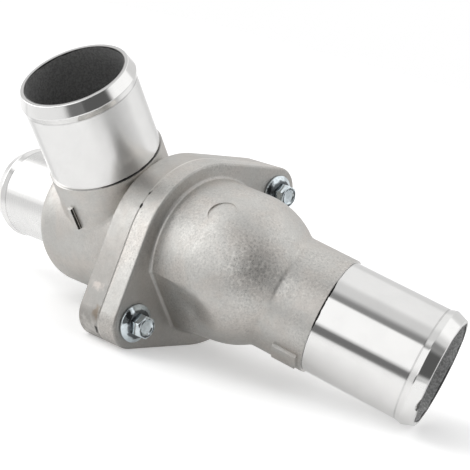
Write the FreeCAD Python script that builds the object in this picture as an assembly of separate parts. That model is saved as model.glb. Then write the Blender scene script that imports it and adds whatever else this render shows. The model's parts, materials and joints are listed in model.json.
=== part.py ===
import FreeCAD, Part
import math
import os
from FreeCAD import Placement, Rotation, Vector

# Three-way thermostat housing of cast aluminium, with its valve inside.
# Lengths are millimetres. The X axis is the valve's axis and points towards the outlet.
# The origin is the middle of the bypass mouth. Z is square to the lower flat of the flange.
# Shapes are drawn with x = 0 at the joint of the two castings and then moved to that origin.

# Hose necks
hose_r = 22.25               # outside of the inlet and outlet necks, for a 44.5 mm hose
hose_wall = 2.75
bypass_r = 19.0              # outside of the bypass neck, for a 38 mm hose
bypass_wall = 2.8
bead_height = 0.7            # how far the bead stands proud of its neck
bead_chamfer = 4.6           # from the bead's crest to the mouth
bead_shoulder = 2.6          # from the bead's crest back to the plain neck
bead_round = 0.7
lip_drop = 1.05              # how far the mouth's edge is below the neck's outside
lip_round = 0.35
cast_step = 0.75             # the casting stands proud of the turned neck by this much

# Places along the valve's axis, from the joint of the castings
bypass_mouth = 102.0
inlet_place = 34.0           # axis of the inlet, behind the joint
body_end = 6.6               # from the inlet's boss to the barrel's rear end
outlet_place = 17.6          # where the outlet's axis crosses the valve's axis

# The outlet's direction, in degrees
outlet_tilt = 24.2           # from the valve's axis
outlet_turn = -68.8          # about the valve's axis, from the line of the bolts

# Distances along the necks, from the valve's axis
inlet_seam = 36.9
inlet_mouth = 74.1
outlet_seam = 46.3
outlet_mouth = 91.6

# Flange
bolt_pitch = 83.5
flange_land = 8.1            # from the rubber ring's recess to the round middle's edge
lobe_r = 10.4                # ends of the flange, round the bolts
cover_flange = 8.6
body_flange = 11.4
flange_edge = 0.9            # rounding of the outer edges
joint_chamfer = 0.35         # broken edge along the joint
flange_flare = 4.5           # fillet from the rear flange to the barrel

# Castings
body_r = 28.7
body_corner = 8.2
wall = 3.5
core_draft = 1.2             # degrees, of the cast bore behind a turned neck
dome_swell = 0.6             # how much larger the dome's round end is than the barrel
dome_draft = 1.1             # how much wider the dome gets towards the flange
dome_centre = 25.5           # centre of the dome's round end
dome_fillet = 1.3
outlet_fillet = 2.5
inlet_fillet = 1.5
relief_depth = 2.3           # flats on the dome that clear the bolt heads
end_wall = 6.2               # web between the chamber and the bypass neck
bypass_ledge = 3.7           # width of the web round the bypass hole, seen from the neck
seat_height = 1.5            # raised seat round the bypass hole
seat_width = 2.2
chamber_corner = 4.0

# Marks on the castings
mark_length = 10.0
mark_height = 0.9
mark_round = 0.3
inlet_mark_width = 2.0
inlet_mark_start = 17.9
outlet_mark_width = 4.8
outlet_mark_start = 34.7
outlet_mark_turn = 69.5      # degrees about the outlet, from its side that faces the dome's top
disc_mark_r = 5.5
disc_mark_depth = 0.3
disc_mark_tilt = 84.0        # degrees from the valve's axis
disc_mark_turn = 94.0        # degrees about the valve's axis, from the line of the bolts

# Bolts
bolt_r = 3.0
bolt_length = 18.0
bolt_tip = 0.6
bolt_hole_clearance = 0.3
thread_clearance = 0.05
hex_flats = 8.0
hex_turn = 12.0
hex_bevel = 30.0             # degrees
hex_top_r = 3.76             # round flat on top of the head
hex_rim = 0.6                # from the hexagon's corners to the top edge of the washer flange
head_height = 6.8
head_flange_r = 7.4
head_flange_rim = 1.0
head_flange_round = 0.35
head_flange_height = 2.4
head_dish = 0.5
head_dish_r = 2.9

# Thermostat plate and its rubber ring
plate_ledge = 1.8            # how far the plate reaches over the chamber's edge
plate_thickness = 1.2
seal_thickness = 4.0         # also the depth of the recess behind the joint
seal_lip = 2.6               # how far the rubber reaches over the plate
seal_back = 1.1              # rubber outside the plate's edge
fit_gap = 0.1                # round gap between fixed pieces
slip = 0.3                   # gap between pieces that move past each other
shaft_fit = 0.05             # round gap of a rod in its guide
plate_ring = 9.4             # width of the plate round the valve hole
neck_rise = 2.6              # height of the cone round the valve hole
neck_edge = 0.8              # width of the cone's front edge

# Valve and capsule
valve_overlap = 1.4          # how much wider the valve is than its hole
valve_thickness = 1.4
valve_lift = 9.0
capsule_r = 7.8
capsule_wall = 0.9
capsule_floor = 1.2
capsule_length = 28.0
capsule_flange_r = 9.4
capsule_flange = 1.4
guide_r = 4.6
guide_length = 8.0
guide_round = 1.2
guide_depth = 6.0
piston_r = 1.9
piston_depth = 20.0          # how far the piston reaches behind the capsule's front
sleeve_wall = 1.2

# Frame of the valve
strap_width = 9.0
strap_thickness = 1.4
strap_gap = 0.8              # from the strap's foot to the rubber ring
bridge_rise = 17.0
bridge_top_r = 5.2
socket_r = 4.0
socket_depth = 2.6
socket_round = 1.0
cage_depth = 29.0
cage_margin = 1.45           # how far the cage's ring reaches past the spring
cage_collar = 2.5
collar_wall = 1.2

# Bypass valve
disc_overlap = 2.5           # how much wider the disc is than the bypass hole
disc_thickness = 1.4
disc_hub_r = 3.6
disc_hub_length = 4.0
stem_r = 1.6
stem_groove = 0.4
stem_end = 1.0
clip_r = 3.2
clip_thickness = 0.8
clip_mouth = 2.2

# Springs
main_wire_r = 1.35
spring_inset = 4.4           # from the valve's edge to the middle of the wire
main_turns = 4.5
bypass_wire_r = 0.6
bypass_coil_r = 5.4
bypass_turns = 5.5
arcs_a_turn = 8              # arcs that follow one turn of a coil

# Bleed pin
pin_turn = 50.0              # degrees about the valve's axis, from the line of the bolts
pin_r = 0.9
pin_hole_r = 1.35
pin_head_r = 1.8
pin_head = 0.7
pin_play = 1.0               # travel each way

# Worked out from the sizes above
boss_r = hose_r + cast_step
bypass_seam = inlet_place + boss_r + body_end
hose_bore_r = hose_r - hose_wall
bypass_bore_r = bypass_r - bypass_wall
bypass_hole_r = bypass_bore_r - bypass_ledge
chamber_r = body_r - wall
chamber_end = -bypass_seam + end_wall
seat_face = chamber_end + seat_height
dome_r = body_r + dome_swell
dome_foot_r = dome_r + dome_draft
relief_place = dome_r - relief_depth
plate_r = chamber_r + plate_ledge
seal_r = plate_r + seal_back
seal_bore_r = plate_r - seal_lip
recess_r = seal_r + fit_gap
flange_r = recess_r + flange_land
half_pitch = bolt_pitch / 2
bolt_line = math.degrees(math.asin((flange_r - lobe_r) / half_pitch))
plate_back = -(seal_thickness + plate_thickness) / 2
plate_front = plate_back + plate_thickness
valve_hole_r = plate_r - plate_ring
cone_r = valve_hole_r + neck_rise
valve_r = valve_hole_r + valve_overlap
valve_front = plate_back + cone_r - valve_r - slip * math.sqrt(2)
valve_back = valve_front - valve_thickness
capsule_front = valve_front + capsule_flange
capsule_back = capsule_front - capsule_length
guide_back = capsule_front - guide_depth
piston_back = capsule_front - piston_depth
piston_hole_r = piston_r + shaft_fit
sleeve_r = piston_hole_r + sleeve_wall
sleeve_back = piston_back - slip - sleeve_wall
strap_foot_r = seal_bore_r - strap_gap
leg_r = cone_r + plate_thickness / 2 + fit_gap
cage_floor = plate_back - cage_depth
main_coil_r = valve_r - spring_inset
cage_ring_r = main_coil_r + main_wire_r + cage_margin
bridge_top = plate_front + bridge_rise
disc_r = bypass_hole_r + disc_overlap
disc_back = seat_face + valve_lift + slip
disc_front = disc_back + disc_thickness
clip_front = disc_back - slip
clip_back = clip_front - clip_thickness
pin_place = seal_bore_r - slip - pin_head_r

along = Vector(1, 0, 0)
middle = Vector(0, 0, 0)


def spoke(degrees):
    """Unit vector square to the valve's axis, turned from the line of the bolts."""
    turn = math.radians(bolt_line + degrees)
    return Vector(0, math.cos(turn), math.sin(turn))


def spun(shape, degrees):
    """Turn a shape about the X axis, so that its Y points along a spoke."""
    return shape.rotated(middle, along, bolt_line + degrees)


def aimed(shape, start, direction):
    """Point a shape that was drawn along X in a direction, from a start point."""
    placed = shape.copy()
    placed.Placement = Placement(start, Rotation(along, direction)).multiply(shape.Placement)
    return placed


def rod(radius, start, end):
    """Cylinder on the X axis."""
    return Part.makeCylinder(radius, end - start, Vector(start, 0, 0), along)


def tube(outer, inner, start, end):
    return rod(outer, start, end).cut(rod(inner, start, end))


def turned(corners):
    """Solid of revolution about X from corners given as (x, radius)."""
    points = [Vector(x, r, 0) for x, r in corners]
    outline = Part.makePolygon(points + points[:1])
    return Part.Face(outline).revolve(middle, along, 360)


def radius_of(point):
    return math.hypot(point.y, point.z)


def edges_where(shape, test):
    """Edges whose sampled points all pass the test. A pole's edge has no length and is left out."""
    edges = [edge for edge in shape.Edges if not edge.Degenerated]
    return [edge for edge in edges if all(test(point) for point in edge.discretize(7))]


def edges_at(shape, x):
    """Edges that lie in the plane at x."""
    return edges_where(shape, lambda point: abs(point.x - x) < 0.001)


def ring_edges(shape, x, radius):
    """Round edges about the X axis at one place."""
    return [edge for edge in edges_at(shape, x)
            if all(abs(radius_of(point) - radius) < 0.01 for point in edge.discretize(7))]


def neck(radius, start, mouth):
    """Turned hose neck with its bead, solid, along X."""
    crest = mouth - bead_chamfer
    crest_r = radius + bead_height
    lip_r = radius - lip_drop
    body = turned([
        (start, 0),
        (start, radius),
        (crest - bead_shoulder, radius),
        (crest, crest_r),
        (mouth, lip_r),
        (mouth, 0),
    ])
    body = body.makeFillet(bead_round, ring_edges(body, crest, crest_r))
    return body.makeFillet(lip_round, ring_edges(body, mouth, lip_r))


def passage(seam, mouth):
    """Bore of a neck along X: true in the turned part, then narrower with the core's draft."""
    root_r = hose_bore_r - seam * math.tan(math.radians(core_draft))
    return turned([(0, 0), (0, root_r), (seam, hose_bore_r), (mouth, hose_bore_r), (mouth, 0)])


def inlet(shape):
    """Put a shape that was drawn along X on the inlet's axis."""
    return aimed(shape, Vector(-inlet_place, 0, 0), spoke(90))


def outlet_direction():
    tilt = math.radians(outlet_tilt)
    return along * math.cos(tilt) + spoke(outlet_turn) * math.sin(tilt)


def outlet(shape):
    """Put a shape that was drawn along X on the outlet's axis."""
    return aimed(shape, Vector(outlet_place, 0, 0), outlet_direction())


def crease_edges(shape, start, direction, seam):
    """Edges where the boss round a neck leaves its casting."""
    def on_crease(point):
        offset = point - start
        on_boss = abs(offset.cross(direction).Length - boss_r) < 0.01
        return on_boss and offset.dot(direction) < seam - wall

    return edges_where(shape, on_crease)


def flange_plate(start, end):
    """Plate with a round middle that is drawn out to a lobe at each bolt."""
    turn = 90 - bolt_line

    def rim(place, radius, degrees):
        return Vector(start, 0, 0) + spoke(0) * place + spoke(degrees) * radius

    curves = []
    for side, place in ((0, half_pitch), (180, -half_pitch)):
        lobe_end = rim(place, lobe_r, side + turn)
        round_start = rim(0, flange_r, side + turn)
        round_end = rim(0, flange_r, side + 180 - turn)
        next_lobe = rim(-place, lobe_r, side + 180 - turn)
        curves.append(Part.Arc(rim(place, lobe_r, side - turn), rim(place, lobe_r, side), lobe_end))
        curves.append(Part.LineSegment(lobe_end, round_start))
        curves.append(Part.Arc(round_start, rim(0, flange_r, side + 90), round_end))
        curves.append(Part.LineSegment(round_end, next_lobe))
    outline = Part.Wire([curve.toShape() for curve in curves])
    return Part.Face(outline).extrude(along * (end - start))


def at_bolts(shape):
    """Copies of a shape on the axes of the two bolts."""
    return [shape.translated(spoke(0) * place) for place in (-half_pitch, half_pitch)]


def cast_mark(start, width, degrees):
    """Raised pad on a cast boss that was drawn along X. It faces a spoke."""
    top = boss_r + mark_height
    root = boss_r - wall / 2
    pad = Part.makeBox(mark_length, top - root, width, Vector(start, root, -width / 2))
    rim = edges_where(pad, lambda point: abs(point.y - top) < 0.001)
    return spun(pad.makeFillet(mark_round, rim), degrees)


def rear_body():
    """Rear casting: flange, chamber, inlet neck and bypass neck."""
    flange = flange_plate(-body_flange, 0)
    flange = flange.makeFillet(flange_edge, edges_at(flange, -body_flange))
    flange = flange.makeChamfer(joint_chamfer, edges_at(flange, 0))
    flange = flange.fuse(rod(body_r, -body_flange - 2 * flange_flare, -body_flange))
    flange = flange.makeFillet(flange_flare, ring_edges(flange, -body_flange, body_r))
    barrel = rod(body_r, -bypass_seam, -flange_edge)
    barrel = barrel.makeFillet(body_corner, ring_edges(barrel, -bypass_seam, body_r))
    barrel = barrel.fuse(inlet(rod(boss_r, 0, inlet_seam)))
    crease = crease_edges(barrel, Vector(-inlet_place, 0, 0), spoke(90), inlet_seam)
    body = flange.fuse(barrel.makeFillet(inlet_fillet, crease)).removeSplitter()
    body = body.fuse(inlet(neck(hose_r, inlet_seam, inlet_mouth)))
    bypass_neck = neck(bypass_r, bypass_seam, bypass_mouth)
    body = body.fuse(bypass_neck.rotated(middle, Vector(0, 0, 1), 180))
    body = body.fuse(inlet(cast_mark(inlet_mark_start, inlet_mark_width, 180)))

    chamber = rod(chamber_r, chamber_end, 0)
    chamber = chamber.makeFillet(chamber_corner, ring_edges(chamber, chamber_end, chamber_r))
    body = body.cut(chamber)
    body = body.cut(rod(recess_r, -seal_thickness, 0))
    body = body.cut(rod(bypass_bore_r, -bypass_mouth, -bypass_seam))
    body = body.fuse(rod(bypass_hole_r + seat_width, chamber_end, seat_face))
    body = body.cut(rod(bypass_hole_r, -bypass_seam, seat_face))
    body = body.cut(inlet(passage(inlet_seam, inlet_mouth)))
    for hole in at_bolts(rod(bolt_r + thread_clearance, -body_flange, 0)):
        body = body.cut(hole)
    return body.removeSplitter()


def dome(foot, foot_r, round_r):
    """Solid with a nearly straight side that runs smoothly into a round end."""
    back = dome_centre - foot
    reach = math.hypot(back, foot_r)
    touch = math.pi - math.atan2(foot_r, back) - math.acos(round_r / reach)

    def on_end(turn):
        return Vector(dome_centre + round_r * math.cos(turn), round_r * math.sin(turn), 0)

    root = Vector(foot, 0, 0)
    start = Vector(foot, foot_r, 0)
    curves = [
        Part.LineSegment(root, start),
        Part.LineSegment(start, on_end(touch)),
        Part.Arc(on_end(touch), on_end(touch / 2), on_end(0)),
        Part.LineSegment(on_end(0), root),
    ]
    outline = Part.Wire([curve.toShape() for curve in curves])
    return Part.Face(outline).revolve(middle, along, 360)


def disc_mark():
    """Cutter for a shallow round recess in the side of the dome."""
    plug = rod(disc_mark_r, dome_r / 2, dome_r + wall)
    plug = plug.cut(Part.makeSphere(dome_r - disc_mark_depth))
    tilt = math.radians(disc_mark_tilt)
    direction = along * math.cos(tilt) + spoke(disc_mark_turn) * math.sin(tilt)
    return aimed(plug, Vector(dome_centre, 0, 0), direction)


def outlet_crease(shape):
    """Edges where the outlet's boss leaves the dome."""
    start = Vector(outlet_place, 0, 0)
    edges = crease_edges(shape, start, outlet_direction(), outlet_seam)
    return [edge for edge in edges if edge.BoundBox.XMin > cover_flange + dome_fillet]


def outlet_cover():
    """Front casting: flange, dome and outlet neck."""
    flange = flange_plate(0, cover_flange)
    flange = flange.makeFillet(flange_edge, edges_at(flange, cover_flange))
    flange = flange.makeChamfer(joint_chamfer, edges_at(flange, 0))
    shell = dome(cover_flange, dome_foot_r, dome_r)
    relief = Part.makeBox(dome_centre + dome_r, dome_r, 2 * dome_foot_r,
                          Vector(cover_flange, relief_place, -dome_foot_r))
    for side in (0, 180):
        shell = shell.cut(spun(relief, side))
    cover = flange.fuse(shell)
    foot = [edge for edge in edges_at(cover, cover_flange)
            if all(radius_of(point) < dome_foot_r + 0.01 for point in edge.discretize(7))]
    cover = cover.makeFillet(dome_fillet, foot)
    cover = cover.fuse(outlet(rod(boss_r, 0, outlet_seam)))
    cover = cover.makeFillet(outlet_fillet, outlet_crease(cover))
    cover = cover.fuse(outlet(neck(hose_r, outlet_seam, outlet_mouth)))
    mark_side = outlet_turn + 180 + outlet_mark_turn
    cover = cover.fuse(outlet(cast_mark(outlet_mark_start, outlet_mark_width, mark_side)))

    cover = cover.cut(disc_mark())
    cover = cover.cut(dome(0, chamber_r, dome_r - wall))
    cover = cover.cut(outlet(passage(outlet_seam, outlet_mouth)))
    for hole in at_bolts(rod(bolt_r + bolt_hole_clearance, 0, cover_flange)):
        cover = cover.cut(hole)
    return cover.removeSplitter()


def flange_bolt():
    """Hexagon bolt with its own washer flange, its head's underside at x = 0."""
    corner_r = hex_flats / 2 / math.cos(math.radians(30))
    rim = corner_r + hex_rim
    washer = turned([
        (0, 0),
        (0, head_flange_r),
        (head_flange_rim, head_flange_r),
        (head_flange_height, rim),
        (head_flange_height, 0),
    ])
    washer = washer.makeFillet(head_flange_round, ring_edges(washer, head_flange_rim, head_flange_r))
    corners = []
    for step in range(7):
        turn = math.radians(60 * step)
        corners.append(Vector(0, corner_r * math.cos(turn), corner_r * math.sin(turn)))
    hexagon = Part.Face(Part.makePolygon(corners)).extrude(along * head_height)
    drop = (rim - hex_top_r) * math.tan(math.radians(hex_bevel))
    envelope = turned([
        (0, 0),
        (0, rim),
        (head_height - drop, rim),
        (head_height, hex_top_r),
        (head_height, 0),
    ])
    head = hexagon.common(envelope).rotated(middle, along, hex_turn)
    dish = Part.makeCone(head_dish_r - head_dish, head_dish_r, head_dish,
                         Vector(head_height - head_dish, 0, 0), along)
    shank = turned([
        (-bolt_length, 0),
        (-bolt_length, bolt_r - bolt_tip),
        (-bolt_length + bolt_tip, bolt_r),
        (0, bolt_r),
        (0, 0),
    ])
    bolt = shank.fuse(washer).fuse(head).cut(dish).removeSplitter()
    return bolt.translated(along * cover_flange)


def seal_ring():
    """Rubber ring with a groove that holds the edge of the plate."""
    ring = tube(seal_r, seal_bore_r, -seal_thickness, 0)
    return ring.cut(rod(plate_r + fit_gap, plate_back, plate_front))


def seat_plate():
    """Pressed plate with a cone round the valve hole and a hole for the bleed pin."""
    plate = turned([
        (plate_back, plate_r),
        (plate_front, plate_r),
        (plate_front, cone_r + plate_thickness / 2),
        (plate_back + neck_rise + neck_edge, valve_hole_r + neck_edge),
        (plate_back + neck_rise, valve_hole_r),
        (plate_back, cone_r),
    ])
    hole = rod(pin_hole_r, plate_back, plate_front).translated(spoke(pin_turn) * pin_place)
    return plate.cut(hole)


def strap(half_outline):
    """Pressed strap from half of its outline, given as (x, distance from the axis)."""
    right = [Vector(x, y, 0) for x, y in half_outline]
    left = [Vector(x, -y, 0) for x, y in reversed(half_outline)]
    outline = Part.makePolygon(right + left + right[:1])
    band = Part.Face(outline).extrude(Vector(0, 0, strap_width))
    return band.translated(Vector(0, 0, -strap_width / 2))


def bridge():
    """Front strap, with the socket that holds the piston."""
    foot = plate_front + strap_thickness
    band = strap([
        (bridge_top + strap_thickness, bridge_top_r + strap_thickness / 2),
        (foot, leg_r + strap_thickness),
        (foot, strap_foot_r),
        (plate_front, strap_foot_r),
        (plate_front, leg_r),
        (bridge_top, bridge_top_r),
    ])
    socket = rod(socket_r, bridge_top - socket_depth, bridge_top + strap_thickness)
    socket = socket.makeFillet(socket_round, ring_edges(socket, bridge_top - socket_depth, socket_r))
    hole = rod(piston_hole_r, bridge_top - socket_depth, bridge_top)
    return spun(band.fuse(socket).cut(hole).removeSplitter(), 90)


def cage():
    """Rear strap, with the ring that carries the main spring and guides the capsule."""
    foot = plate_back - strap_thickness
    outside = cage_floor - strap_thickness
    band = strap([
        (outside, leg_r + strap_thickness),
        (foot, leg_r + strap_thickness),
        (foot, strap_foot_r),
        (plate_back, strap_foot_r),
        (plate_back, leg_r),
        (cage_floor, leg_r),
    ])
    hole_r = capsule_r + slip
    ring = rod(cage_ring_r, outside, cage_floor)
    collar = rod(hole_r + collar_wall, outside - cage_collar, outside)
    frame = band.fuse(ring).fuse(collar)
    frame = frame.cut(rod(hole_r, outside - cage_collar, cage_floor))
    return spun(frame.removeSplitter(), 90)


def main_valve():
    return tube(valve_r, capsule_r + fit_gap, valve_back, valve_front)


def wax_capsule():
    """Cup with a rolled flange that sits on the front of the valve."""
    cup = rod(capsule_r, capsule_back, capsule_front)
    cup = cup.makeFillet(capsule_wall, ring_edges(cup, capsule_back, capsule_r))
    cup = cup.fuse(rod(capsule_flange_r, valve_front, capsule_front))
    cup = cup.cut(rod(capsule_r - capsule_wall, capsule_back + capsule_floor, capsule_front))
    return cup.cut(rod(stem_r + fit_gap, capsule_back, capsule_back + capsule_floor))


def wax_pellet():
    pellet = rod(capsule_r - capsule_wall - fit_gap, capsule_back + capsule_floor, guide_back)
    return pellet.cut(rod(sleeve_r + fit_gap, sleeve_back, guide_back))


def rubber_sleeve():
    """Closed rubber sleeve that keeps the wax off the piston."""
    sleeve = rod(sleeve_r, sleeve_back, guide_back)
    return sleeve.cut(rod(piston_hole_r, piston_back - slip, guide_back))


def capsule_guide():
    guide = rod(capsule_r - capsule_wall - fit_gap, guide_back, capsule_front)
    tip = capsule_front + guide_length
    nose = rod(guide_r, capsule_front, tip)
    nose = nose.makeFillet(guide_round, ring_edges(nose, tip, guide_r))
    return guide.fuse(nose).cut(rod(piston_hole_r, guide_back, tip))


def piston_rod():
    return rod(piston_r, piston_back, bridge_top)


def bypass_stem():
    """Pin at the capsule's rear end, with a groove for the clip."""
    stem = rod(stem_r, clip_back - stem_end, capsule_back + capsule_floor)
    return stem.cut(tube(stem_r, stem_r - stem_groove, clip_back, clip_front))


def stem_clip():
    ring = tube(clip_r, stem_r - stem_groove + shaft_fit, clip_back, clip_front)
    mouth = Part.makeBox(clip_thickness, clip_r, clip_mouth, Vector(clip_back, 0, -clip_mouth / 2))
    return ring.cut(mouth)


def bypass_valve():
    """Disc and hub that slide on the stem."""
    disc = rod(disc_r, disc_back, disc_front)
    hub = rod(disc_hub_r, disc_front, disc_front + disc_hub_length)
    return disc.fuse(hub).cut(rod(stem_r + shaft_fit, disc_back, disc_front + disc_hub_length))


def spring(wire_r, coil_r, turns, start, end):
    """Coil spring along X with its two ends ground flat."""
    first = start + wire_r / 2
    pitch = (end - start - wire_r) / turns

    def on_helix(turn):
        angle = 2 * math.pi * turn
        return Vector(first + pitch * turn, coil_r * math.cos(angle), coil_r * math.sin(angle))

    count = round(turns * arcs_a_turn)
    arcs = []
    for step in range(count):
        near = step / arcs_a_turn
        far = (step + 1) / arcs_a_turn
        arcs.append(Part.Arc(on_helix(near), on_helix((near + far) / 2), on_helix(far)))
    path = Part.Wire([arc.toShape() for arc in arcs])
    slope = Vector(pitch, 0, 2 * math.pi * coil_r)
    section = Part.Wire(Part.makeCircle(wire_r, on_helix(0), slope))
    coil = path.makePipeShell([section], True, False, 1)
    return coil.common(rod(coil_r + 2 * wire_r, start, end))


def bleed_pin():
    """Loose pin that lets air through the plate."""
    room = pin_play + slip
    shank = rod(pin_r, plate_back - room, plate_front + room)
    rear_head = rod(pin_head_r, plate_back - room - pin_head, plate_back - room)
    front_head = rod(pin_head_r, plate_front + room, plate_front + room + pin_head)
    pin = shank.fuse(rear_head).fuse(front_head)
    return pin.translated(spoke(pin_turn) * pin_place)


def all_pieces():
    lower_bolt, upper_bolt = at_bolts(flange_bolt())
    return {
        "rear_body": rear_body(),
        "outlet_cover": outlet_cover(),
        "bolt_lower": lower_bolt,
        "bolt_upper": upper_bolt,
        "seal_ring": seal_ring(),
        "seat_plate": seat_plate(),
        "bridge": bridge(),
        "cage": cage(),
        "piston_rod": piston_rod(),
        "main_valve": main_valve(),
        "wax_capsule": wax_capsule(),
        "wax_pellet": wax_pellet(),
        "rubber_sleeve": rubber_sleeve(),
        "capsule_guide": capsule_guide(),
        "bypass_stem": bypass_stem(),
        "stem_clip": stem_clip(),
        "bypass_valve": bypass_valve(),
        "main_spring": spring(main_wire_r, main_coil_r, main_turns,
                              cage_floor + fit_gap, valve_back - fit_gap),
        "bypass_spring": spring(bypass_wire_r, bypass_coil_r, bypass_turns,
                                disc_front + fit_gap, capsule_back - fit_gap),
        "bleed_pin": bleed_pin(),
    }


os.makedirs("parts", exist_ok=True)
for name, shape in all_pieces().items():
    shape.translated(along * bypass_mouth).exportStep("parts/" + name + ".step")
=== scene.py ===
import json
import math

import bpy
from mathutils import Matrix, Vector


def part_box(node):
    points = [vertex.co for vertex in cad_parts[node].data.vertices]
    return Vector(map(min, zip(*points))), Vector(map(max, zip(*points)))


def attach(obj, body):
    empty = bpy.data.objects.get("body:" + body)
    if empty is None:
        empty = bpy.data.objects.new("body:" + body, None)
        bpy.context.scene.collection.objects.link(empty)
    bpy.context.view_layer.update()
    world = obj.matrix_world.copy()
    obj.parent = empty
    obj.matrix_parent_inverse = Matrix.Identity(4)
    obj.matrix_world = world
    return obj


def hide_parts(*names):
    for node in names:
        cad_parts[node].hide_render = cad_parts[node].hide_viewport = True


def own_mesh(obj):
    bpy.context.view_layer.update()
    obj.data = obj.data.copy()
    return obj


# Looks of a three-way thermostat housing: finishes for the castings and the valve inside,
# threaded flange bolts, wound springs, and a white studio round the part.
# Lengths are metres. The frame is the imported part: X is the valve's axis, towards the outlet.

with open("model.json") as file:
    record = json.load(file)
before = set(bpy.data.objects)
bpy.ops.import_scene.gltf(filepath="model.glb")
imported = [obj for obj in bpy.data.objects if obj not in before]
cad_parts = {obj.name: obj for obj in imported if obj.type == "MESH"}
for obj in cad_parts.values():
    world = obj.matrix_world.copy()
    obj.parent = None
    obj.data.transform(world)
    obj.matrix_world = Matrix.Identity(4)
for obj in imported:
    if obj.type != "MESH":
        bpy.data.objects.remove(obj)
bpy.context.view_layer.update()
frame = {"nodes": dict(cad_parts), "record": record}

# The way each mount faces
mount_axes = {mount["name"]: mount["axis"] for mount in frame["record"]["mounts"]}

bl_info = {
    "name": "Thermostat housing looks",
    "version": (1, 0, 0),
    "blender": (4, 5, 0),
    "location": "View3D > Sidebar > Housing",
    "description": "Finishes, bolts, springs and studio for a cast thermostat housing",
    "category": "Object",
}

# The necks: a point on the axis and the way it leads, how far along it the turned wall's seam,
# the bead and the mouth come, and the radius of the bore. A painted shadow runs along the seam's
# step towards gap_side, thinnest at the first cosine of gap_reach and widest at
# the second. The lip is ragged by lip_wave, and rim_bite is the place and reach where the rough
# bore bites into it. Satin is how much rougher the wall is before the bead. The bore's darkest
# and lightest greys are shares of the cast colour.
INLET = {
    "start": (0.068, 0.0, 0.0),
    "direction": mount_axes["inlet_port"],
    "seam": 0.0369,
    "bead": 0.0669,
    "mouth": 0.0741,
    "bore_r": 0.0195,
    "gap_side": (0.98, 0.12, 0.10),
    "gap_reach": (0.45, 0.92),
    "lip_wave": 0.00012,
    "rim_bite": None,
    "satin": 0.13,
    "bore_tone": (0.54, 0.84),
}
OUTLET = {
    "start": (0.1196, 0.0, 0.0),
    "direction": mount_axes["outlet_port"],
    "seam": 0.0463,
    "bead": 0.0844,
    "mouth": 0.0916,
    "bore_r": 0.0195,
    "gap_side": (0.407, -0.838, 0.363),
    "gap_reach": (0.90, 0.965),
    "lip_wave": 0.00080,
    "rim_bite": ((0.2080, 0.0140, -0.0275), (0.0026, 0.0026, 0.0044)),
    "satin": 0.0,
    "bore_tone": (0.72, 1.22),
}
BYPASS = {
    "start": (0.102, 0.0, 0.0),
    "direction": mount_axes["bypass_port"],
    "seam": 0.0636,
    "bead": 0.0948,
    "mouth": 0.1020,
    "bore_r": 0.0162,
    "gap_side": (0.0, -0.94, -0.34),
    "gap_reach": (0.40, 0.90),
    "lip_wave": 0.00012,
    "rim_bite": None,
    "satin": 0.19,
    "bore_tone": (0.54, 0.84),
}

# Points of a new piece that are as close as this are one
SEAM = 0.0000005

# Radius of the cast roots of the two large necks
BOSS_R = 0.023

# Lugs on those roots: the way they face, start along the neck, and length, width and height
INLET_LUG = ((0.0, -0.78431777, -0.62035928), 0.0178, (0.0103, 0.0021, 0.0017))
OUTLET_LUG = ((0.1096, -0.6987, -0.7071), 0.0346, (0.0102, 0.0090, 0.0014))

# The castings' joint, where light is painted over the shade in its groove
JOINT_X = 0.102

# Marks on the castings: place, reach, soft edge, cover and colour
BLACK = (0.01, 0.01, 0.01)
SLITS = (
    ((0.1021, -0.0322, 0.0168), (0.0005, 0.0008, 0.0011), 0.45, 0.9, BLACK),
    ((0.1021, -0.0290, 0.0219), (0.0005, 0.0009, 0.0010), 0.45, 0.9, BLACK),
)
REAR_MARKS = SLITS + (
    ((0.0960, -0.0430, -0.0335), (0.0080, 0.0065, 0.0060), 0.90, 0.50, (0.76, 0.74, 0.71)),
    ((0.1004, -0.0431, -0.0247), (0.0024, 0.0036, 0.0031), 1.05, 0.62, (0.24, 0.18, 0.12)),
    ((0.0965, -0.0410, -0.0156), (0.0040, 0.0046, 0.0020), 1.05, 0.50, (0.76, 0.69, 0.64)),
    ((0.1007, -0.0417, -0.0312), (0.0009, 0.0040, 0.0020), 0.70, 0.90, (0.03, 0.03, 0.03)),
)

# Shade painted on a flange: its middle along X, half width and soft edge, then two heights
# and the cover at each
REAR_FLANGE_SHADE = (0.0970, 0.0060, 0.0030, -0.010, 0.018, 0.50, 0.0)
COVER_FLANGE_SHADE = (0.1106, 0.0003, 0.0004, 0.004, 0.016, 0.52, 0.36)

# Shade painted on the blasted skin, darker below than above: two heights and the tone at each
SHADE_HEIGHTS = (-0.034, 0.004)
SHADE_TONES = (0.83, 1.05)

# Rougher patches on the dome: place and reach
COVER_PATCHES = (
    ((0.1490, -0.0205, 0.0060), (0.0150, 0.0150, 0.0150)),
    ((0.1600, -0.0150, 0.0060), (0.0110, 0.0110, 0.0110)),
)

# Where the dome runs out into its flat side, the edge looks rounded off: place, reach, radius
ROUNDED_OFF = ((0.1340, -0.0230, -0.0150), (0.0150, 0.0150, 0.0150), 0.0060)

# Shadows painted on the bolts' washers: place and reach
BOLT_SHADOWS = (
    ((0.11215, -0.03800, -0.02220), (0.0012, 0.0011, 0.0019)),
    ((0.11200, 0.02640, 0.02720), (0.0012, 0.0011, 0.0019)),
)

# The bolts: radii of the head's chamfered top and of the washer, height of the head,
# the dish in its top, the depth and half width of the thread as shares of its pitch,
# and the turn at which both bolts stand
BOLT_TOP_R, WASHER_R, BOLT_HEAD = 0.00376, 0.0074, 0.0068
DISH_R, DISH_DEPTH = 0.0034, 0.0005
THREAD_DEPTH, THREAD_WIDTH = 0.61, 0.58
BOLT_TURN = math.radians(102)

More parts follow.
